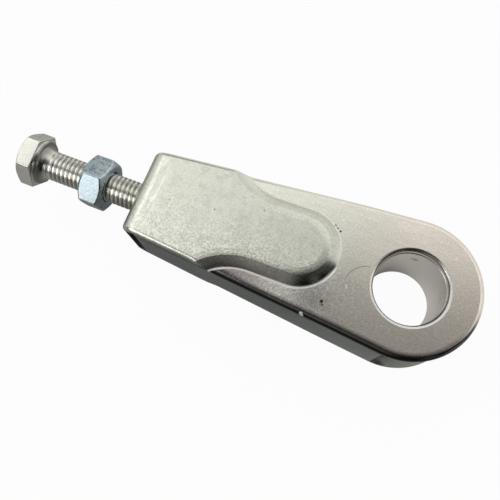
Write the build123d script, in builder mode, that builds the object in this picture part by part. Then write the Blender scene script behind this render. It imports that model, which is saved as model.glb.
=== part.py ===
"""A motorcycle chain adjuster: a folded sheet body with an axle eye, drawn along by a hex bolt.

Frame: the origin is the centre of the axle eye, halfway between the two legs. +Z is the axle's
axis, and the adjusting bolt lies on the X axis with its head at the -X end. Lengths are in
millimetres.
"""
import os
from math import cos, radians, sin, tan

from build123d import *

os.makedirs("parts", exist_ok=True)

# Axle eye
axle_bore = 17.3
bush_diameter = 28.0
bush_length = 19.6
bush_chamfer = 0.3
leg_hole = 17.6
eye_width = 34.0
hole_round = 0.85

# Folded sheet
sheet = 1.6
fold_reach = 71.2
fold_width = 22.4
fold_corner = 2.0
bend_radius = 4.0
edge_round = 1.2
lean_margin = 1.8
lean_radius = 45.0
lean_angle = 4.0

# Raised area pressed out of each leg
raise_height = 2.5
flank_angle = 45.0
nose_lead = 2.0
nose_margin = 7.1
flare_gap = 19.2
flare_radius = 15.0
crease_round = 0.6
shoulder_round = 4.0
inner_shoulder = 0.3

# Side flanges turned up from the lower leg
flange_seam = 0.4
flange_relief = 2.5
flange_end = -0.8
flange_end_round = 0.7

# Adjusting bolt, lock nut and weld nut
thread = 8.0
thread_clearance = 0.05
bolt_hole = 9.0
across_flats = 13.0
bolt_length = 50.0
bolt_standout = 29.7
head_height = 5.3
head_chamfer_circle = 12.4
washer_face = 12.0
washer_height = 0.8
neck_round = 1.1
tip_chamfer = 1.0
head_turn = 5.0
nut_height = 6.8
nut_gap = 9.8
nut_chamfer_circle = 11.8
nut_turn = 36.0
nut_countersink = 0.6
corner_chamfer_angle = 34.0

# Values worked out from the driving dimensions
face_level = bush_length / 2 + sheet
eye_radius = eye_width / 2
lean_start = bush_diameter / 2 + lean_margin
nose_radius = eye_radius - nose_margin
beyond = eye_width
wall_x = -fold_reach + sheet
corner_radius = across_flats / 2 / cos(radians(30))
nut_drop = (corner_radius - nut_chamfer_circle / 2) * tan(radians(corner_chamfer_angle))
head_drop = (corner_radius - head_chamfer_circle / 2) * tan(radians(corner_chamfer_angle))
shank_radius = thread / 2 - thread_clearance
head_x = -fold_reach - bolt_standout
nut_x = -fold_reach - nut_gap


def leg_outline():
    """Plan of a leg: the round eye, with straight sides that narrow to the fold."""
    corner_x = -fold_reach + fold_corner
    corner_y = fold_width / 2 - fold_corner
    with BuildSketch() as outline:
        Circle(eye_radius)
        with Locations((corner_x, corner_y), (corner_x, -corner_y)):
            Circle(fold_corner)
        make_hull()
    return outline.sketch


def raised_outline(depth):
    """Plan of the raised area's foot, measured from where the legs begin to lean: a round nose
    that flares out past the sides of the leg."""
    setback = depth * tan(radians(flank_angle) / 2)
    half = nose_radius - setback
    flare = flare_radius + setback
    tip = (-nose_lead - setback, 0)
    nose_end = (-nose_lead - nose_radius, half)
    flare_start = (-nose_lead - flare_gap, half)
    flare_end = (flare_start[0] - flare, half + flare)
    side = (flare_end[0], half + flare + beyond)
    back = (-fold_reach - beyond, half + flare + beyond)
    with BuildSketch() as outline:
        with BuildLine():
            RadiusArc(tip, nose_end, -half)
            Line(nose_end, flare_start)
            RadiusArc(flare_start, flare_end, flare)
            Polyline(flare_end, side, back, (back[0], 0))
            mirror(about=Plane.XZ)
        make_face()
    return outline.sketch


def pressed_block(depth, shoulder):
    """A wide block whose upper and lower faces are parallel round the eye, lean together from there
    to the fold and carry the raised area. It is cut off square at the fold, with bent edges. The body's
    outside is such a block at no depth, and the hollow between its legs is one a sheet deep."""
    level = face_level - depth
    end_x = -fold_reach + depth
    lean = radians(lean_angle)
    lean_face = Plane((-lean_start, 0, level), (cos(lean), 0, sin(lean)), (-sin(lean), 0, cos(lean)))
    far = fold_reach + 2 * beyond
    with BuildPart() as block:
        with BuildSketch(Plane.XZ) as profile:
            with BuildLine():
                Polyline(
                    (far, 0),
                    (far, level),
                    (-lean_start, level),
                    (-far, level - (far - lean_start) * tan(lean)),
                    (-far, 0),
                    close=True,
                )
            make_face()
            lean_corner = profile.vertices().sort_by_distance((-lean_start, 0, level))[0]
            fillet(lean_corner, lean_radius - depth)
        extrude(amount=far, both=True)
        with BuildSketch(lean_face):
            add(raised_outline(depth))
        extrude(amount=raise_height, taper=flank_angle)
        foot = block.edges(Select.LAST).filter_by(
            lambda edge: abs(lean_face.to_local_coords(edge.center()).Z) < 0.01
        )
        plateau = block.faces().sort_by(Axis(lean_face.origin, lean_face.z_dir))[-1]
        fillet(plateau.edges(), shoulder)
        fillet(foot, crease_round + depth)
        with BuildSketch(Plane.XY):
            with Locations((end_x, 0)):
                Rectangle(far, 2 * eye_width, align=(Align.MIN, Align.CENTER))
        extrude(amount=2 * level, mode=Mode.INTERSECT)
        end_edges = block.edges().filter_by(Axis.Y).filter_by_position(Axis.X, end_x, end_x)
        fillet(end_edges.sort_by(Axis.Z)[-1], bend_radius - depth)
        mirror(about=Plane.XY)
    return block.part


def hex_nut(start_x, turn):
    """A hex nut on the X axis from start_x on: its corners are chamfered at both faces, and its bore
    is countersunk."""
    end_x = start_x + nut_height
    with BuildPart() as nut:
        with BuildSketch(Plane.YZ.offset(start_x)):
            RegularPolygon(across_flats / 2, 6, major_radius=False, rotation=turn)
        extrude(amount=nut_height)
        with BuildSketch(Plane.XZ):
            with BuildLine():
                Polyline(
                    (start_x, 0),
                    (start_x, nut_chamfer_circle / 2),
                    (start_x + nut_drop, corner_radius),
                    (end_x - nut_drop, corner_radius),
                    (end_x, nut_chamfer_circle / 2),
                    (end_x, 0),
                    close=True,
                )
            make_face()
        revolve(axis=Axis.X, mode=Mode.INTERSECT)
        with BuildSketch(Plane.YZ.offset(start_x)):
            Circle(thread / 2)
        extrude(amount=nut_height, mode=Mode.SUBTRACT)
        bore = nut.faces().filter_by(GeomType.CYLINDER).sort_by(SortBy.RADIUS)[0]
        chamfer(bore.edges().filter_by(GeomType.CIRCLE), nut_countersink)
    return nut.part


outside = pressed_block(0, shoulder_round)
hollow = pressed_block(sheet, inner_shoulder)


# Side flanges: two strips of the leg's outline, as tall as the hollow less the seam under the top leg
with BuildPart() as flanges:
    with BuildSketch(Plane.XY.offset(-2 * face_level)):
        add(leg_outline())
        offset(amount=-sheet, mode=Mode.SUBTRACT)
        flange_start = wall_x + flange_relief
        with Locations(((flange_start + flange_end) / 2, 0)):
            Rectangle(flange_end - flange_start, 2 * eye_width, mode=Mode.INTERSECT)
    extrude(amount=4 * face_level)
    with Locations((0, 0, -flange_seam)):
        add(hollow, mode=Mode.INTERSECT)
    end_corners = flanges.edges().filter_by(Axis.Z).group_by(Axis.Y)
    fillet(end_corners[0] + end_corners[-1], flange_end_round)


# Folded body: one sheet, embossed, folded in a U round the bolt end, with the flanges on its lower leg
with BuildPart() as folded_body:
    with BuildSketch(Plane.XY.offset(-2 * face_level)):
        add(leg_outline())
    extrude(amount=4 * face_level)
    add(outside, mode=Mode.INTERSECT)
    sides = folded_body.faces().filter_by(lambda face: abs(face.normal_at().Z) < 0.01)
    rims = sides.sort_by(Axis.X)[1:].edges().filter_by(Axis.Z, reverse=True)
    fillet(rims, edge_round)
    add(hollow, mode=Mode.SUBTRACT)
    add(flanges.part)
    with BuildSketch(Plane.XY.offset(-2 * face_level)):
        Circle(leg_hole / 2)
    extrude(amount=4 * face_level, mode=Mode.SUBTRACT)
    hole_rims = folded_body.edges().filter_by(GeomType.CIRCLE)
    hole_rims = hole_rims.filter_by(lambda edge: abs(edge.radius - leg_hole / 2) < 0.01).sort_by(Axis.Z)
    fillet([hole_rims[0], hole_rims[-1]], hole_round)
    with BuildSketch(Plane.YZ.offset(-fold_reach - sheet)):
        Circle(bolt_hole / 2)
    extrude(amount=3 * sheet, mode=Mode.SUBTRACT)
folded_body.part.label = "folded_body"
export_step(folded_body.part, "parts/folded_body.step")


# Axle bush: the spacer tube between the legs
with BuildPart() as axle_bush:
    with BuildSketch(Plane.XY.offset(-bush_length / 2)):
        Circle(bush_diameter / 2)
        Circle(axle_bore / 2, mode=Mode.SUBTRACT)
    extrude(amount=bush_length)
    bush_rims = axle_bush.edges().filter_by(GeomType.CIRCLE)
    chamfer(bush_rims, bush_chamfer)
axle_bush.part.label = "axle_bush"
export_step(axle_bush.part, "parts/axle_bush.step")


# Weld nut: inside the fold, flat against the end wall, in line with the bolt hole
weld_nut = hex_nut(wall_x, 0)
weld_nut.label = "weld_nut"
export_step(weld_nut, "parts/weld_nut.step")


# Adjusting bolt: hex head with a washer face, then a shank threaded to the tip
with BuildPart() as adjusting_bolt:
    with BuildSketch(Plane.YZ.offset(head_x - head_height)):
        RegularPolygon(across_flats / 2, 6, major_radius=False, rotation=head_turn)
    extrude(amount=head_height - washer_height)
    with BuildSketch(Plane.XZ):
        with BuildLine():
            Polyline(
                (head_x - head_height, 0),
                (head_x - head_height, head_chamfer_circle / 2),
                (head_x - head_height + head_drop, corner_radius),
                (head_x, corner_radius),
                (head_x, 0),
                close=True,
            )
        make_face()
    revolve(axis=Axis.X, mode=Mode.INTERSECT)
    with BuildSketch(Plane.YZ.offset(head_x - washer_height)):
        Circle(washer_face / 2)
    extrude(amount=washer_height)
    with BuildSketch(Plane.YZ.offset(head_x)):
        Circle(shank_radius)
    extrude(amount=bolt_length)
    necks = adjusting_bolt.edges().filter_by(GeomType.CIRCLE).filter_by_position(Axis.X, head_x, head_x)
    fillet(necks.sort_by(SortBy.RADIUS)[0], neck_round)
    tip = adjusting_bolt.faces().sort_by(Axis.X)[-1]
    chamfer(tip.edges(), tip_chamfer)
adjusting_bolt.part.label = "adjusting_bolt"
export_step(adjusting_bolt.part, "parts/adjusting_bolt.step")


# Lock nut: on the bolt, between its head and the fold
lock_nut = hex_nut(nut_x - nut_height, nut_turn)
lock_nut.label = "lock_nut"
export_step(lock_nut, "parts/lock_nut.step")
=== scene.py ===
# %% [markdown]
# # A motorcycle chain adjuster
# A plated sheet is folded into a U. Its two legs hold a bush for the wheel axle, and a bolt screwed into
# the fold draws the axle back to tighten the chain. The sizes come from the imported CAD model, so this
# lesson only adds what the solids leave out: a rolled thread, softened edges and the finish of each metal.

# %% Load the CAD frame
import math

import bmesh
import bpy
from mathutils import Matrix, Vector


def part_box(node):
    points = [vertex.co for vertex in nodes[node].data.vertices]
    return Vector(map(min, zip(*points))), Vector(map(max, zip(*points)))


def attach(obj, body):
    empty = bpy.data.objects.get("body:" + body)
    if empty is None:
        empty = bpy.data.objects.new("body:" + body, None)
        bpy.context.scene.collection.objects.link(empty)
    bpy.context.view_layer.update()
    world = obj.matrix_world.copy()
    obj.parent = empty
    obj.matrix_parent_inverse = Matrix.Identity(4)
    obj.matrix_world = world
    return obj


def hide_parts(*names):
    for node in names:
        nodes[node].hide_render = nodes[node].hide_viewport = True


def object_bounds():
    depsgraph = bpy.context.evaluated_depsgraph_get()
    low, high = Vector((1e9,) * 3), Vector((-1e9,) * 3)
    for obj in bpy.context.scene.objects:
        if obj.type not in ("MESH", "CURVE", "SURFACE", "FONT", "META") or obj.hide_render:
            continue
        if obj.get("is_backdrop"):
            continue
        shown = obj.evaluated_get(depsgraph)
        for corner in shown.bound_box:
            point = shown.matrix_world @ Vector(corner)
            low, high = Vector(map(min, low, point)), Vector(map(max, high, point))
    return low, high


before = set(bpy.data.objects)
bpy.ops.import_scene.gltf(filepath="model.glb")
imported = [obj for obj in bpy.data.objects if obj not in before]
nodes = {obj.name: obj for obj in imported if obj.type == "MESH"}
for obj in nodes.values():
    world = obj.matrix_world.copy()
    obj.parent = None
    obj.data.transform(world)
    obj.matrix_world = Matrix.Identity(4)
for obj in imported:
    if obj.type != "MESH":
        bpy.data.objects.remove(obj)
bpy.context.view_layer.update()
MM = 0.001

# %% [markdown]
# ## The camera
# The camera stands above the part, a little to the near side, and looks down on the upper leg. Its place
# and turn were worked out by laying the model's outline over the photograph. The three axis vectors are
# the camera's own right, up and back directions, so they go straight into the columns of its matrix.

# %% Camera
right = Vector((0.92680, 0.37301, -0.04361))
up = Vector((-0.35062, 0.90103, 0.25537))
back = right.cross(up)
camera = bpy.data.objects.new("camera", bpy.data.cameras.new("camera"))
camera.data.sensor_width = 36.0
camera.data.lens = 43.2
camera.data.clip_start = 1 * MM
camera.matrix_world = Matrix((right, up, back)).transposed().to_4x4()
camera.location = Vector((-19.015, -36.965, 149.909)) * MM
bpy.context.scene.collection.objects.link(camera)
bpy.context.scene.camera = camera
print("camera looks along", [round(x, 3) for x in -back])

# %% [markdown]
# ## Growing a turned or hexagonal shape ring by ring
# A bolt head, its washer face and a nut are all stacks of rings round one axis. A ring of vertices is made
# once with create_circle, and each next ring is extruded from the last one and put in its place. A hexagon
# is a ring too: its radius only changes with the angle. The chamfer at a hexagon's corners then comes by
# itself, because each vertex is drawn back along the axis by how far it lies outside the chamfer circle.

# %% Ring helpers
RING = 96
FLATS = 13.0 * MM
SIXTH = math.pi / 3
CHAMFER_SLOPE = math.tan(math.radians(34))


def corner_angle(node):
    """The angle of a hexagon's first corner, read from the CAD node itself."""
    points = [v.co for v in nodes[node].data.vertices]
    corner = max(points, key=lambda p: math.hypot(p.y, p.z))
    return math.atan2(corner.z, corner.y) % SIXTH


def hex_radius(angle, corner):
    """Distance from the axis to the side of a hexagon at this angle."""
    from_flat = (angle - corner) % SIXTH - SIXTH / 2
    return FLATS / 2 / math.cos(from_flat)


def hex_rim(x, inwards, circle, corner):
    """Places a hexagon's rim: drawn in along the axis where it lies outside the chamfer circle."""
    return lambda angle: (
        x + inwards * (hex_radius(angle, corner) - circle) * CHAMFER_SLOPE,
        hex_radius(angle, corner),
    )


def first_ring(bm, x, radius, corner):
    """A ring round the X axis, with a vertex on each corner of the hexagon."""
    turn = Matrix.Rotation(corner, 4, "X") @ Matrix.Rotation(math.pi / 2, 4, "Y")
    matrix = Matrix.Translation((x, 0, 0)) @ turn
    bmesh.ops.create_circle(bm, segments=RING, radius=radius, matrix=matrix)
    return bm.edges[:]


def next_ring(bm, edges, place):
    """Extrudes a ring and moves each new vertex to the (x, radius) that place gives for its angle."""
    grown = bmesh.ops.extrude_edge_only(bm, edges=edges)["geom"]
    for vert in [g for g in grown if isinstance(g, bmesh.types.BMVert)]:
        angle = math.atan2(vert.co.z, vert.co.y)
        x, radius = place(angle)
        vert.co = (x, radius * math.cos(angle), radius * math.sin(angle))
    new = {g for g in grown if isinstance(g, bmesh.types.BMEdge)}
    return [e for e in new if all(v in grown for v in e.verts) and e.is_boundary]


def finished(bm, name, body, bevel=0.0):
    """Turns a bmesh into a piece: soft edges, faces outwards, smooth shading, riding on its body."""
    bmesh.ops.remove_doubles(bm, verts=bm.verts, dist=1e-7)
    bmesh.ops.recalc_face_normals(bm, faces=bm.faces)
    if bevel:
        sharp = [e for e in bm.edges if e.is_manifold and e.calc_face_angle() > math.radians(22)]
        bmesh.ops.bevel(
            bm,
            geom=sharp,
            offset=bevel,
            segments=3,
            profile=0.5,
            affect="EDGES",
            material=-1,
            clamp_overlap=True,
        )
    mesh = bpy.data.meshes.new(name)
    bm.to_mesh(mesh)
    bm.free()
    mesh.shade_smooth()
    piece = bpy.data.objects.new(name, mesh)
    if bevel:
        piece.modifiers.new("flat_faces", "WEIGHTED_NORMAL").weight = 100
    else:
        mesh.set_sharp_from_angle(angle=math.radians(45))
    bpy.context.scene.collection.objects.link(piece)
    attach(piece, body)
    print(name, "has", len(mesh.polygons), "faces")
    return piece


print("a ring has", RING, "vertices,", RING // 6, "for each side of a hexagon")

# %% [markdown]
# ## The bolt's head
# The head is forged: a hexagon with its outer corners chamfered, a thin round washer face beneath it, and a
# hollow neck that swells from the shank. The CAD head gives the ends and the turn of the hexagon. The
# rings run from the outer face to the neck, and a bevel rounds the edges as plating does.

# %% Bolt head
HEAD_HEIGHT = 5.3 * MM
HEAD_CIRCLE = 6.2 * MM
WASHER_HEIGHT = 0.8 * MM
WASHER_RADIUS = 6.0 * MM
WASHER_EDGE = 5.9 * MM
CREST = 3.95 * MM
NECK_SPREAD = 1.7 * MM
NECK_LENGTH = 2.0 * MM
NECK_STEPS = 6
HEAD_BEVEL = 0.16 * MM

bolt_low, bolt_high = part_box("adjusting_bolt")
head_corner = corner_angle("adjusting_bolt")
head_face = bolt_low.x
head_under = head_face + HEAD_HEIGHT
washer_top = head_under - WASHER_HEIGHT


def neck(sweep):
    """A point on the neck's quarter ellipse, from under the head to the shank."""
    x = head_under + NECK_LENGTH * (1 - math.cos(sweep))
    return x, CREST + NECK_SPREAD * (1 - math.sin(sweep))


bm = bmesh.new()
ring = first_ring(bm, head_face, HEAD_CIRCLE, head_corner)
bmesh.ops.contextual_create(bm, geom=ring)
ring = next_ring(bm, ring, hex_rim(head_face, 1, HEAD_CIRCLE, head_corner))
ring = next_ring(bm, ring, lambda a: (washer_top, hex_radius(a, head_corner)))
ring = next_ring(bm, ring, lambda a: (washer_top, WASHER_RADIUS))
ring = next_ring(bm, ring, lambda a: (head_under, WASHER_EDGE))
for step in range(NECK_STEPS + 1):
    ring = next_ring(bm, ring, lambda a: neck(math.pi / 2 * step / NECK_STEPS))
bmesh.ops.contextual_create(bm, geom=ring)
bolt_head = finished(bm, "bolt_head", "bolt", bevel=HEAD_BEVEL)
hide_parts("adjusting_bolt")

# %% [markdown]
# ## The rolled thread
# A rolled thread is one ridge wound round the shank, and every turn moves it on by the pitch. Spin does just
# that when it is given a step along the axis: the wavy outline of the whole shank is spun once round, and
# meets its own start one ridge further on. So use_merge stays off here, and the doubles are merged after.
# The ends are cut flat with bisect_plane. Near the head the groove fades out, and at the tip the crest is
# turned down to a point, so the vertices there are pushed out or in to those limits.

# %% Thread
PITCH = 1.25 * MM
ROOT = CREST - 0.5 * MM
STEPS = 48
PROFILE = 12
RUN_OUT = 1.6 * PITCH
TIP_CHAMFER = 1.0 * MM
thread_start = head_under + 0.85 * NECK_LENGTH
thread_end = bolt_high.x
turns = math.ceil((thread_end - thread_start) / PITCH) + 2


def ridge(t):
    """Radius of the thread at a share t of one pitch: a wave between root and crest, cut flat at both."""
    wave = math.cos(2 * math.pi * t) * 1.8 - 0.5
    share = 0.5 - 0.5 * max(-1.0, min(1.0, wave))
    return ROOT + (CREST - ROOT) * share


bm = bmesh.new()
profile = [
    bm.verts.new((thread_start + PITCH * (i / PROFILE - 1.5), 0, ridge(i / PROFILE)))
    for i in range(PROFILE * turns + 1)
]
edges = [bm.edges.new(pair) for pair in zip(profile, profile[1:])]
bmesh.ops.spin(
    bm, geom=profile + edges, axis=(1, 0, 0), dvec=(PITCH / STEPS, 0, 0), angle=2 * math.pi, steps=STEPS
)
bmesh.ops.remove_doubles(bm, verts=bm.verts, dist=1e-6)
for x, side in ((thread_start, -1), (thread_end, 1)):
    whole = bm.verts[:] + bm.edges[:] + bm.faces[:]
    bmesh.ops.bisect_plane(
        bm, geom=whole, dist=1e-7, plane_co=(x, 0, 0), plane_no=(side, 0, 0), clear_outer=True
    )
bmesh.ops.holes_fill(bm, edges=[e for e in bm.edges if e.is_boundary], sides=0)
for vert in bm.verts:
    radius = math.hypot(vert.co.y, vert.co.z)
    fade = min(1.0, (vert.co.x - thread_start) / RUN_OUT)
    lowest = ROOT + (CREST - ROOT) * (1 - fade)
    highest = CREST - max(0.0, vert.co.x - thread_end + TIP_CHAMFER)
    wanted = min(max(radius, lowest), highest)
    if radius > 1e-6:
        vert.co.y *= wanted / radius
        vert.co.z *= wanted / radius
bolt_thread = finished(bm, "bolt_thread", "bolt")

# %% [markdown]
# ## The lock nut
# A nut is chamfered on both faces, so its corners are rounded off at both ends, and its bore has a
# countersink where the thread starts. The rings run down one face, through the bore and up the other, and
# the last ring is bridged to the first to close the sides.

# %% Lock nut
NUT_CIRCLE = 5.9 * MM
BORE = 4.0 * MM
SINK = 0.6 * MM
NUT_BEVEL = 0.3 * MM
nut_low, nut_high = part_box("lock_nut")
nut_corner = corner_angle("lock_nut")

bm = bmesh.new()
start = first_ring(bm, nut_low.x, NUT_CIRCLE, nut_corner)
ring = next_ring(bm, start, lambda a: (nut_low.x, BORE + SINK))
ring = next_ring(bm, ring, lambda a: (nut_low.x + SINK, BORE))
ring = next_ring(bm, ring, lambda a: (nut_high.x - SINK, BORE))
ring = next_ring(bm, ring, lambda a: (nut_high.x, BORE + SINK))
ring = next_ring(bm, ring, lambda a: (nut_high.x, NUT_CIRCLE))
far_rim = next_ring(bm, ring, hex_rim(nut_high.x, -1, NUT_CIRCLE, nut_corner))
near_rim = next_ring(bm, start, hex_rim(nut_low.x, 1, NUT_CIRCLE, nut_corner))
bmesh.ops.bridge_loops(bm, edges=far_rim + near_rim)
zinc_nut = finished(bm, "zinc_nut", "nut", bevel=NUT_BEVEL)
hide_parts("lock_nut")

# %% [markdown]
# ## Building blocks for the finishes
# All finishes, the table and the studio are node trees. They could be wired by hand in the node editor, but
# code repeats exactly. A few short helpers keep it readable: one adds a node and fills its sockets, some do
# sums, and one turns a given colour into the linear values that Blender works in.

# %% Node helpers


def tone(red, green, blue):
    """A colour given as it looks on screen, from 0 to 255, in linear light."""
    values = [c / 255 for c in (red, green, blue)]
    return [c / 12.92 if c <= 0.04045 else ((c + 0.055) / 1.055) ** 2.4 for c in values] + [1.0]


class Nodes:
    """A node tree under construction."""

    def __init__(self, owner):
        owner.use_nodes = True
        self.tree = owner.node_tree

    def fill(self, socket, value):
        if isinstance(value, bpy.types.NodeSocket):
            self.tree.links.new(value, socket)
        else:
            socket.default_value = value

    def add(self, kind, inputs=None, **settings):
        made = self.tree.nodes.new(kind)
        for name, value in settings.items():
            setattr(made, name, value)
        for name, value in (inputs or {}).items():
            self.fill(made.inputs[name], value)
        return made

    def math(self, operation, first, *others):
        """Joins two or more values, one after the other, by the same sum."""
        result = first
        for other in others:
            result = self.add("ShaderNodeMath", {0: result, 1: other}, operation=operation).outputs[0]
        return result

    def times(self, *values):
        return self.math("MULTIPLY", *values)

    def plus(self, *values):
        return self.math("ADD", *values)

    def minus(self, *values):
        return self.math("SUBTRACT", *values)

    def largest(self, *values):
        return self.math("MAXIMUM", *values)

    def unsigned(self, value):
        return self.math("ABSOLUTE", value, 0.0)

    def square(self, value):
        return self.math("POWER", value, 2.0)

    def point(self, **parts):
        return self.add("ShaderNodeCombineXYZ", parts).outputs[0]

    def gap(self, here, there):
        return self.add("ShaderNodeVectorMath", {0: here, 1: there}, operation="DISTANCE").outputs["Value"]

    def ramp(self, value, low, high, to_low=0.0, to_high=1.0):
        """Goes smoothly from to_low to to_high while the value goes from low to high."""
        sockets = {"Value": value, "From Min": low, "From Max": high, "To Min": to_low, "To Max": to_high}
        return self.add("ShaderNodeMapRange", sockets, interpolation_type="SMOOTHSTEP").outputs[0]

    def band(self, value, middle, inner, outer, strength=1.0):
        """Full strength within inner of the middle, fading to 0 at outer on both sides."""
        return self.ramp(self.unsigned(self.minus(value, middle)), inner, outer, strength, 0.0)

    def choose(self, share, a, b):
        return self.add("ShaderNodeMix", {0: share, 2: a, 3: b}).outputs[0]

    def mix(self, share, a, b):
        """Mixes two colours."""
        made = self.add("ShaderNodeMix", data_type="RGBA")
        for index, value in ((0, share), (6, a), (7, b)):
            self.fill(made.inputs[index], value)
        return made.outputs[2]

    def link(self, output, node, socket):
        self.tree.links.new(output, self.tree.nodes[node].inputs[socket])


print("a grey of 128 on screen is", round(tone(128, 128, 128)[0], 3), "in linear light")

# %% [markdown]
# ## What every metal's finish needs
# Each metal reads Object coordinates, turned into millimetres, so a grain has the same size on every piece.
# It has noises of its own and marks at given points, and in the end its colour, gloss and relief are joined
# to the shader. Kept in one class, this leaves only what is special about a metal to the steps below.

# %% Finish helpers


class Finish(Nodes):
    """A metal's finish, with the part's coordinates in millimetres."""

    def __init__(self, name):
        self.material = bpy.data.materials.new(name)
        super().__init__(self.material)
        self.shader = self.tree.nodes["Principled BSDF"]
        coords = self.add("ShaderNodeTexCoord").outputs["Object"]
        per_mm = (1 / MM, 1 / MM, 1 / MM)
        self.mm = self.add("ShaderNodeMapping", {"Vector": coords, "Scale": per_mm}).outputs[0]
        split = self.add("ShaderNodeSeparateXYZ", {"Vector": self.mm})
        self.x, self.y, self.z = split.outputs

    def noise(self, scale, detail=2.0, rough=0.5, stretch=(1, 1, 1), turn=0):
        """Noise with this many waves a millimetre, stretched, and turned by degrees round Z."""
        turned = {"Vector": self.mm, "Scale": stretch, "Rotation": (0, 0, math.radians(turn))}
        spread = self.add("ShaderNodeMapping", turned).outputs[0]
        sockets = {"Vector": spread, "Scale": scale, "Detail": detail, "Roughness": rough}
        return self.add("ShaderNodeTexNoise", sockets).outputs["Fac"]

    def near(self, point, inner, outer):
        """1 within inner millimetres of a point, fading to 0 at outer."""
        return self.ramp(self.gap(self.mm, point), inner, outer, 1.0, 0.0)

    def marks(self, points, inner, outer):
        """1 on each of a few small marks."""
        return self.largest(*[self.near(point, inner, outer) for point in points])

    def surface(self, colour, roughness, height, depth, metallic=1.0):
        """Joins a colour, a gloss and a relief to the shader. Depth is the relief's scale in millimetres."""
        self.fill(self.shader.inputs["Base Color"], colour)
        self.fill(self.shader.inputs["Roughness"], roughness)
        self.fill(self.shader.inputs["Metallic"], metallic)
        bump = self.add("ShaderNodeBump", {"Height": height, "Strength": 1.0, "Distance": depth * MM})
        self.fill(self.shader.inputs["Normal"], bump.outputs[0])
        print("finish", self.material.name, "has", len(self.tree.nodes), "nodes")
        return self.material


def dress(node, material):
    """Gives a CAD node its finish."""
    nodes[node].data.materials.clear()
    nodes[node].data.materials.append(material)


print("materials before the first finish:", len(bpy.data.materials))

# %% [markdown]
# ## The plated sheet
# The body is steel sheet with a bright satin plating. Pressing, shearing and handling leave other marks in
# each place, so the finish works in zones. They could be painted by hand, but a distance in millimetres
# follows the shape exactly: how high a point lies over the leaning leg, how far it is from the foot of the
# raised area, from the outline of the leg and from the axis of the eye.

# %% Plated sheet: the leg and its seam
FACE_LEVEL = 11.4
LEAN_START = 15.8
LEAN_SLOPE = math.tan(math.radians(4))

sheet = Finish("plated_sheet")
side_y = sheet.unsigned(sheet.y)
past_lean = sheet.largest(sheet.minus(-LEAN_START, sheet.x), 0.0)
leg_face = sheet.minus(FACE_LEVEL, sheet.times(past_lean, LEAN_SLOPE))
above = sheet.minus(sheet.unsigned(sheet.z), leg_face)
off_fold = sheet.ramp(sheet.x, -69.4, -68.0)
on_top = sheet.math("GREATER_THAN", sheet.z, 0.0)
tucked = sheet.times(sheet.ramp(above, -1.4, -0.9, 1.0, 0.0), off_fold)
on_leg = sheet.minus(1.0, tucked)
rim = sheet.times(sheet.ramp(above, -0.4, -0.05, 1.0, 0.0), off_fold, on_top)
print("the leg's face falls by", round(LEAN_SLOPE, 3), "mm a millimetre past", LEAN_START, "mm")

# %% Plated sheet: the raised area
NOSE_X = -27.7
FLARE_X = -37.0
NOSE_RADIUS = 9.9
FLARE_RADIUS = 15.0

spot = sheet.point(X=sheet.x, Y=side_y)
spine_x = sheet.math("MINIMUM", sheet.largest(sheet.x, FLARE_X), NOSE_X)
from_nose = sheet.minus(sheet.gap(spot, sheet.point(X=spine_x)), NOSE_RADIUS)
flare_centre = (FLARE_X, NOSE_RADIUS + FLARE_RADIUS, 0.0)
from_flare = sheet.minus(FLARE_RADIUS, sheet.gap(spot, flare_centre))
at_flare = sheet.math("LESS_THAN", sheet.x, FLARE_X)
from_foot = sheet.choose(at_flare, from_nose, from_flare)
raised = sheet.ramp(from_foot, -2.2, -0.2, 1.0, 0.0)
flat_part = sheet.minus(1.0, raised)
lip = sheet.times(sheet.band(from_foot, 0.1, 0.12, 0.32), on_leg)
print("the raised area's nose ends at x =", round(NOSE_X + NOSE_RADIUS, 1), "mm")

# %% Plated sheet: the leg's outline
EYE_RADIUS = 17.0
SIDE_TURN = math.radians(94.8)

out_x, out_y = math.cos(SIDE_TURN), math.sin(SIDE_TURN)
from_eye = sheet.gap(sheet.point(X=sheet.x, Y=sheet.y), (0.0, 0.0, 0.0))
to_side = sheet.plus(sheet.times(sheet.x, out_x), sheet.times(side_y, out_y))
round_eye = sheet.math("GREATER_THAN", sheet.times(sheet.x, out_y), sheet.times(side_y, out_x))
from_edge = sheet.minus(EYE_RADIUS, sheet.choose(round_eye, to_side, from_eye))
near_side = sheet.ramp(sheet.y, -4.0, -1.0, 1.0, 0.0)
near_edge = sheet.times(sheet.ramp(sheet.y, -10.0, -5.0, 1.0, 0.0), flat_part)
roll_reach = sheet.ramp(sheet.x, -47.0, -35.0, 3.2, 2.1)
print("the zones take", len(sheet.tree.nodes), "nodes")

# %% [markdown]
# ### Its colours
# The flat round the eye is smooth, with rubbed streaks and small nicks. On the near side the flat is painted
# darker beside the raised area, with a brownish mottle that fades towards the eye, as painted shade. The
# raised area has the fine pebbled grain that the press leaves, strongest on the near half, with a few
# hairlines, and pale streaks along the bend that are a painted highlight. Several noises of different size
# are mixed, because one noise alone looks like a print.

# %% Plated sheet: colour of the flat
pebbles = sheet.noise(2.3, 3.0, 0.65)
streaks = sheet.noise(0.5, 4.0, 0.6, stretch=(0.3, 1.2, 1.0), turn=35)
nicks = sheet.noise(1.3, 1.0, stretch=(2.6, 0.7, 1.0), turn=-15)
plain = sheet.mix(sheet.ramp(sheet.x, -24.0, 0.0), tone(225, 226, 213), tone(232, 223, 210))
plain = sheet.mix(sheet.ramp(streaks, 0.35, 0.7, 0.0, 0.25), plain, tone(210, 204, 190))
plain = sheet.mix(sheet.ramp(pebbles, 0.35, 0.6, 0.35, 0.0), plain, tone(204, 200, 188))
plain = sheet.mix(sheet.ramp(nicks, 0.66, 0.73, 0.0, 0.6), plain, tone(250, 249, 244))
# Painted shade: on the near side the flat beside the flare is darkened.
near_flare_painted_shade = sheet.times(sheet.ramp(sheet.x, -40.0, -26.0, 0.85, 0.0), near_side)
plain = sheet.mix(near_flare_painted_shade, plain, tone(152, 141, 142))
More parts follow.
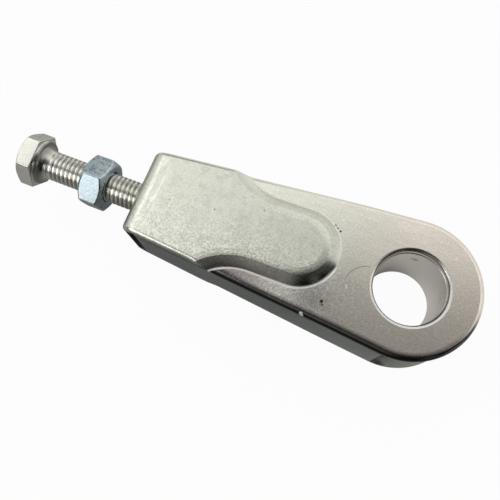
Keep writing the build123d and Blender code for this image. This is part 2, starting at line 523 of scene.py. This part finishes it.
# Painted shade: a mottled dark brownish tone on the near side of the flat, fading towards the eye.
mottle = sheet.ramp(sheet.noise(1.9, 3.0, 0.7), 0.38, 0.62)
mottle = sheet.times(mottle, near_side, sheet.ramp(sheet.x, -24.0, -8.0, 0.36, 0.1))
plain = sheet.mix(mottle, plain, tone(112, 103, 106))
print("the flat's colour brings it to", len(sheet.tree.nodes), "nodes")

# %% Plated sheet: colour of the raised area
BEND_X = -66.4

clouds = sheet.noise(0.11, 3.0, 0.55)
smears = sheet.noise(0.45, 4.0, 0.65)
hairs = sheet.noise(1.1, 2.0, 0.6, stretch=(0.4, 3.2, 1.0), turn=50)
bend_glint_streaks = sheet.noise(0.9, 3.0, 0.6, stretch=(1.8, 0.35, 1.0))
pebbled = sheet.mix(sheet.ramp(pebbles, 0.36, 0.64), tone(184, 186, 172), tone(238, 239, 228))
pebbled = sheet.mix(sheet.ramp(sheet.y, -8.0, 4.0, 1.0, 0.3), tone(210, 212, 199), pebbled)
pebbled = sheet.mix(sheet.ramp(clouds, 0.4, 0.62, 0.0, 0.4), pebbled, tone(218, 219, 207))
hairlines = sheet.times(sheet.ramp(hairs, 0.6, 0.67, 0.0, 0.45), sheet.ramp(clouds, 0.38, 0.5))
pebbled = sheet.mix(hairlines, pebbled, tone(160, 160, 150))
pebbled = sheet.mix(sheet.ramp(smears, 0.46, 0.7, 0.0, 0.45), pebbled, tone(184, 185, 170))
# Painted highlight: pale streaks along the start of the bend.
bend_highlight = sheet.times(sheet.band(sheet.x, BEND_X, 0.6, 2.4, 0.65), sheet.ramp(bend_glint_streaks, 0.5, 0.62))
pebbled = sheet.mix(bend_highlight, pebbled, tone(248, 248, 241))
bright = sheet.mix(raised, plain, pebbled)
# Painted light: a pale matte tone on the near flank of the flare, on the near side only.
on_flank = sheet.times(sheet.band(from_foot, -1.7, 0.9, 1.9), near_side)
painted_flank_light = sheet.times(on_flank, sheet.ramp(sheet.x, -34.0, -24.0, 0.22, 0.0))
bright = sheet.mix(painted_flank_light, bright, tone(186, 172, 166))
print("the raised area's colour brings it to", len(sheet.tree.nodes), "nodes")

# %% [markdown]
# ### Its marks
# A used part has a few marks that belong to a place: two pits, a row of dots, a scuffed arc. A grainy dark
# patch beside the nose is painted shade. Painted highlights in matte white lie on the crease, round the hole
# and in a few glints, and on the near side the sheared rim is painted nearly black and the sheet beside it
# darker, as shade. In the seam and on the flanges the plating is thin, and painted shade makes it darker and
# greenish; past the flanges the lower leg is painted paler as painted light, and a painted shadow darkens the
# corner where a flange ends.

# %% Plated sheet: dark marks and painted shade
# Painted shade: a grainy dark patch beside the nose.
shade_grain = sheet.ramp(sheet.noise(3.0, 2.0, 0.6), 0.3, 0.7, 0.2, 1.0)
nose_painted_shade = sheet.times(sheet.near((-21.4, -10.4, 11.1), 0.5, 7.0), shade_grain, 0.7)
bright = sheet.mix(nose_painted_shade, bright, tone(132, 121, 124))
dots = sheet.marks(((-21.4, 8.0, 11.0), (-20.7, 7.5, 11.0), (-19.8, 7.0, 11.1)), 0.15, 0.35)
big_pit = sheet.near((-18.2, -10.6, 11.2), 0.2, 0.6)
small_pit = sheet.near((-17.8, -11.3, 11.2), 0.05, 0.4)
specks = sheet.marks(((-50.2, 1.1, 11.5), (-38.6, 5.0, 12.3), (-61.8, -0.3, 10.7)), 0.08, 0.22)
arc = sheet.band(sheet.gap(sheet.mm, (-9.3, -4.2, FACE_LEVEL)), 5.6, 0.05, 0.2, 0.4)
scuff = sheet.times(arc, sheet.near((-13.2, -0.4, FACE_LEVEL), 2.2, 4.0))
for mark in (dots, sheet.largest(big_pit, small_pit), specks, scuff):
    bright = sheet.mix(mark, bright, tone(36, 34, 34))
# Painted shade: on the near side the sheet inside the edge is darkened, and the rim is painted nearly black.
painted_shade_by_edge = sheet.times(sheet.ramp(from_edge, 0.7, roll_reach, 0.6, 0.0), near_edge)
bright = sheet.mix(painted_shade_by_edge, bright, tone(80, 73, 77))
painted_shade_on_rim = sheet.times(rim, sheet.ramp(sheet.y, -5.0, 1.0, 0.95, 0.1))
bright = sheet.mix(painted_shade_on_rim, bright, tone(30, 27, 29))
print("the dark marks bring it to", len(sheet.tree.nodes), "nodes")

# %% Plated sheet: painted highlights, seam and flanges
# Painted highlights: white matte lines on the crease, strongest on the near side, a ring round one side of
# the hole, and small glints on the rim and the flat.
crease_highlight = sheet.times(lip, sheet.ramp(near_side, 0.0, 1.0, 0.5, 1.0))
hole_highlight = sheet.times(sheet.ramp(from_eye, 9.0, 9.2), sheet.ramp(from_eye, 9.4, 9.75, 1.0, 0.0))
hole_highlight = sheet.times(hole_highlight, sheet.ramp(sheet.minus(sheet.x, sheet.y), -6.0, -1.0), on_top)
rim_glints = sheet.marks(((-21.7, -14.9, 10.6), (-21.4, -15.3, 10.2)), 0.35, 0.6)
flat_glints = sheet.marks(((-13.9, -5.5, FACE_LEVEL), (-14.1, -5.0, FACE_LEVEL)), 0.12, 0.3)
painted_highlights = sheet.largest(crease_highlight, rim_glints, flat_glints, hole_highlight)
bright = sheet.mix(painted_highlights, bright, tone(254, 253, 249))
# Painted shade: in the seam and on the flanges, where the plating is thin, the tone is darker and greenish.
dull = sheet.mix(clouds, tone(160, 169, 161), tone(188, 195, 188))
# Painted light: past the flange end the lower leg's face is painted paler.
past_flange = sheet.ramp(sheet.x, -3.0, 2.0)
dull = sheet.mix(past_flange, dull, tone(214, 217, 208))
# Painted shadow: a dark notch where each flange ends, by the lower leg's edge.
in_corner = sheet.point(X=sheet.times(sheet.x, 0.5), Y=side_y, Z=sheet.z)
painted_corner_shadow = sheet.ramp(sheet.gap(in_corner, (0.5, 16.5, -11.0)), 1.0, 1.7, 0.95, 0.0)
dull = sheet.mix(painted_corner_shadow, dull, tone(20, 20, 19))
colour = sheet.mix(tucked, bright, dull)
print("the rubbed places and the seam bring it to", len(sheet.tree.nodes), "nodes")

# %% [markdown]
# ### Its gloss and relief
# The last forms are only tenths of a millimetre, so they are bump and not geometry: the pebbles, the sheared
# edge that rolls over, the crisp shoulder of the raised area and the fine groove at its foot. Heights are in
# millimetres and add up, as they do on the real sheet.

# %% Plated sheet: gloss
roughness = sheet.plus(sheet.ramp(streaks, 0.3, 0.7, 0.19, 0.23), sheet.times(raised, 0.08))
roughness = sheet.largest(roughness, sheet.times(tucked, 0.42))
# The thin plating of the seam is partly matte; past the flanges the lower leg is mostly matte, which keeps
# its painted light pale.
seam_matte_and_painted_light = sheet.times(tucked, sheet.ramp(past_flange, 0.0, 1.0, 0.15, 0.7))
metal = sheet.minus(1.0, sheet.largest(seam_matte_and_painted_light, painted_flank_light, painted_highlights))
print("the gloss brings it to", len(sheet.tree.nodes), "nodes")

# %% Plated sheet: relief
SHOULDER_AT = -2.6
SHOULDER_REACH = 1.56

on_raised = sheet.ramp(sheet.y, -7.0, 3.0, 0.036, 0.016)
drawn_grain = sheet.ramp(sheet.x, -28.0, -16.0, 1.0, 0.1)
drawn_grain = sheet.times(near_side, sheet.ramp(from_foot, -5.5, -3.0, 0.0, drawn_grain), 0.03)
pebble_depth = sheet.plus(sheet.ramp(raised, 0.0, 1.0, 0.012, on_raised), drawn_grain)
fall = sheet.largest(sheet.minus(roll_reach, from_edge), 0.0)
rolled_edge = sheet.times(sheet.square(fall), near_edge, -0.055)
from_shoulder = sheet.unsigned(sheet.minus(from_foot, SHOULDER_AT))
peak = sheet.largest(sheet.minus(1.0, sheet.math("DIVIDE", from_shoulder, SHOULDER_REACH)), 0.0)
shoulder = sheet.times(sheet.square(peak), sheet.ramp(sheet.x, -32.0, -22.0, 0.26, 0.14))
groove = sheet.times(sheet.band(from_foot, 0.0, 0.0, 0.5, -0.14), near_side)
forms = sheet.times(sheet.plus(rolled_edge, shoulder, groove), on_leg)
relief = sheet.plus(sheet.times(pebbles, pebble_depth), forms)
dress("folded_body", sheet.surface(colour, roughness, relief, 1.0, metal))

# %% [markdown]
# ## The turned bush
# The bush was turned on a lathe, so its bore carries fine rings. Noise that is stretched flat along the
# axis gives bands of uneven width, which look more like a real cut than a regular wave would.

# %% Axle bush
bush = Finish("turned_steel")
rings = bush.noise(1.0, 3.0, 0.6, stretch=(0.02, 0.02, 2.4))
stain = bush.noise(0.25, 2.0)
colour = bush.mix(rings, tone(208, 202, 192), tone(236, 230, 220))
colour = bush.mix(bush.ramp(stain, 0.6, 0.85, 0.0, 0.7), colour, tone(164, 156, 147))
blot = bush.ramp(bush.noise(1.4, 3.0, 0.7), 0.4, 0.6)
blot = bush.times(bush.near((-0.6, 8.6, 5.2), 0.3, 1.5), blot)
colour = bush.mix(blot, colour, tone(120, 110, 104))
dress("axle_bush", bush.surface(colour, bush.ramp(rings, 0.2, 0.8, 0.3, 0.42), rings, 0.03))

# %% [markdown]
# ## The bolt and the nuts
# The bolt has the same warm plating as the body, but smoother, with painted shade in the roots of its thread
# and a painted shadow under its head.
# The lock nut is zinc plated, which is bluish and has a crystalline mottle: a Voronoi pattern gives each
# small crystal its own tone. The weld nut sits out of sight inside the fold, so a plain dull plating does.

# %% Bolt
bolt = Finish("plated_bolt")
smears = bolt.noise(0.5, 3.0, 0.6)
fine = bolt.noise(3.0, 2.0)
colour = bolt.mix(smears, tone(206, 205, 196), tone(240, 239, 229))
from_axis = bolt.gap(bolt.point(Y=bolt.y, Z=bolt.z), (0.0, 0.0, 0.0))
past_head = bolt.minus(bolt.x, head_under / MM)
# Painted shade: the roots of the thread are darkened.
painted_root_shade = bolt.times(bolt.ramp(from_axis, ROOT / MM, 3.75, 0.5, 0.0), bolt.ramp(past_head, -0.3, 0.1))
colour = bolt.mix(painted_root_shade, colour, tone(72, 71, 67))
# Painted shadow: the neck just under the head is darkened.
painted_shadow_under_head = bolt.times(bolt.ramp(past_head, -0.7, -0.4), bolt.ramp(past_head, 0.3, 2.9, 0.75, 0.0))
colour = bolt.mix(painted_shadow_under_head, colour, tone(120, 119, 114))
bolt_plating = bolt.surface(colour, bolt.ramp(smears, 0.3, 0.7, 0.22, 0.32), fine, 0.015)
for piece in (bolt_head, bolt_thread):
    piece.data.materials.append(bolt_plating)

# %% Nuts
zinc = Finish("zinc_nut")
crystals = zinc.add("ShaderNodeTexVoronoi", {"Vector": zinc.mm, "Scale": 1.6})
speckle = zinc.add("ShaderNodeSeparateColor", {"Color": crystals.outputs["Color"]}).outputs[0]
mottle = zinc.plus(zinc.times(speckle, 0.5), zinc.times(zinc.noise(0.9, 3.0), 0.5))
colour = zinc.mix(mottle, tone(150, 165, 171), tone(216, 230, 235))
zinc_plating = zinc.surface(colour, zinc.ramp(mottle, 0.2, 0.8, 0.26, 0.4), mottle, 0.03)
zinc_nut.data.materials.append(zinc_plating)

hidden = Finish("plated_nut")
dull = hidden.noise(0.6, 3.0)
colour = hidden.mix(dull, tone(120, 120, 113), tone(160, 160, 151))
dress("weld_nut", hidden.surface(colour, hidden.ramp(dull, 0.2, 0.8, 0.4, 0.55), dull, 0.03))

# %% [markdown]
# ## The table
# The part lies on a white table. The camera sees it as plain white, and a little matte surface is mixed in
# so that it keeps the shadow. The metal sees it too, but there it falls off into shade towards the near side
# and under the part. An even white table would be simpler, and would make the plating look like paint.

# %% Floor
TABLE_SIZE = 40.0

low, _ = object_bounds()
bm = bmesh.new()
level = Matrix.Translation((0, 0, low.z))
bmesh.ops.create_grid(bm, x_segments=1, y_segments=1, size=TABLE_SIZE, matrix=level)
mesh = bpy.data.meshes.new("floor")
bm.to_mesh(mesh)
bm.free()
floor = bpy.data.objects.new("floor", mesh)
bpy.context.scene.collection.objects.link(floor)
floor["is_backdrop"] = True
print("floor at z =", round(low.z / MM, 2), "mm")

# %% White table
WHITE_SHARE = 0.96

table = bpy.data.materials.new("white_table")
white = Nodes(table)
matte = white.tree.nodes["Principled BSDF"]
matte.inputs["Base Color"].default_value = (0.9, 0.9, 0.9, 1)
matte.inputs["Roughness"].default_value = 0.9
ray = white.add("ShaderNodeLightPath").outputs
place = white.add("ShaderNodeTexCoord").outputs["Object"]
table_x, table_y, _ = white.add("ShaderNodeSeparateXYZ", {"Vector": place}).outputs
across = white.plus(table_y, white.times(table_x, 0.5))
shade = white.ramp(across, -45 * MM, 45 * MM, 0.13, 0.95)
shade = white.plus(shade, white.ramp(table_x, -110 * MM, -70 * MM, 0.2, 0.0))
under_eye = white.gap(place, (-6 * MM, 9 * MM, low.z))
shade = white.times(shade, white.ramp(under_eye, 3 * MM, 13 * MM, 0.3, 1.0))
glow = white.add("ShaderNodeEmission", {"Strength": white.largest(shade, ray["Is Camera Ray"])})
looked_at = white.largest(ray["Is Camera Ray"], ray["Is Glossy Ray"], ray["Is Transmission Ray"])
share = white.times(looked_at, WHITE_SHARE)
both = white.add("ShaderNodeMixShader", {0: share, 1: matte.outputs[0], 2: glow.outputs[0]})
white.link(both.outputs[0], "Material Output", "Surface")
mesh.materials.append(table)
print("white table has", len(white.tree.nodes), "nodes")

# %% [markdown]
# ## The studio
# Plating shows what stands round it, so the studio is built from directions. A white tent covers the far side
# and the top, the near side is dim, and a white card stands at the bolt's end. The flat of the part then
# runs from bright to dark as it does in the photograph, without any more light on it. A faint glow at the
# near end keeps the plating from going black when it is seen from behind.

# %% World
world = bpy.data.worlds.new("studio")
bpy.context.scene.world = world
studio = Nodes(world)
way = studio.add("ShaderNodeTexCoord").outputs["Generated"]
to_x, to_y, to_z = studio.add("ShaderNodeSeparateXYZ", {"Vector": way}).outputs

left_end = studio.times(studio.ramp(to_x, -0.32, -0.18, 0.35, 0.0), studio.ramp(to_y, -0.15, 0.05))
right_end = studio.minus(studio.ramp(to_x, 0.3, 0.6, 0.0, 0.24), studio.ramp(to_x, 0.12, 0.22, 0.0, 0.04))
across = studio.plus(to_y, left_end, right_end)
tent = studio.plus(studio.ramp(across, 0.2, 0.37, 0.0, 0.84), studio.ramp(across, -0.12, 0.14, 0.03, 0.28))
dark_below = studio.ramp(to_x, 0.1, 0.6, -0.5, 0.04)
light_above = studio.ramp(to_x, 0.1, 0.6, 0.1, 0.24)
horizon = studio.ramp(to_y, dark_below, light_above, 0.0, 0.85)
rise = studio.ramp(to_z, 0.3, 0.9)
around = studio.plus(horizon, studio.times(rise, studio.minus(tent, horizon)))
dim_corner = studio.times(studio.ramp(to_y, 0.4, 0.7), studio.ramp(to_x, -0.4, -0.25, 0.68, 0.0))
around = studio.times(around, studio.minus(1.0, dim_corner))

near_wall = studio.times(studio.ramp(to_y, -0.75, -0.45, 1.0, 0.0), studio.ramp(to_x, -0.2, 0.35, 0.2, 0.0))
near_end = studio.times(studio.ramp(to_x, 0.62, 0.7, 0.0, 0.14), studio.ramp(to_y, -0.64, -0.5, 1.0, 0.0))
left_card = studio.times(studio.ramp(to_x, -0.56, -0.45, 0.8, 0.0), studio.ramp(to_z, 0.5, 0.8))
brightness = studio.plus(around, near_wall, near_end, left_card)
seen = studio.add("ShaderNodeLightPath").outputs["Is Camera Ray"]
studio.link(studio.largest(brightness, seen), "Background", "Strength")
studio.tree.nodes["Background"].inputs["Color"].default_value = (1, 1, 1, 1)
print("studio has", len(studio.tree.nodes), "nodes")

# %% [markdown]
# ## The lamp
# One small soft box close to the bolt puts a highlight on each crest of the thread and on one side of the
# nut. Its power is worked out from how bright its face should look, which is easier to judge than watts.

# %% Lamp
BOLT_MIDDLE = Vector((-88, 0, 0)) * MM
LAMP_DISTANCE = 160 * MM
LAMP_BRIGHTNESS = 2.2

soft_box = bpy.data.lights.new("window_box", "AREA")
soft_box.shape = "RECTANGLE"
soft_box.size = 80 * MM
soft_box.size_y = 110 * MM
soft_box.energy = LAMP_BRIGHTNESS * math.pi * soft_box.size * soft_box.size_y
lamp = bpy.data.objects.new("window_box", soft_box)
towards_lamp = Vector((-0.42, -0.64, 0.62)).normalized()
lamp.location = BOLT_MIDDLE + towards_lamp * LAMP_DISTANCE
lamp.rotation_mode = "QUATERNION"
lamp.rotation_quaternion = (-towards_lamp).to_track_quat("-Z", "Y")
bpy.context.scene.collection.objects.link(lamp)
bpy.context.scene.view_settings.view_transform = "Standard"
print("the lamp gives", round(soft_box.energy, 2), "watts")

# %% [markdown]
# ## The size of the dressed part
# The dressed part must stay inside the CAD model's box, so its size is printed.

# %% Finish
low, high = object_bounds()
print("visual size in mm:", [round(x / MM, 1) for x in high - low])
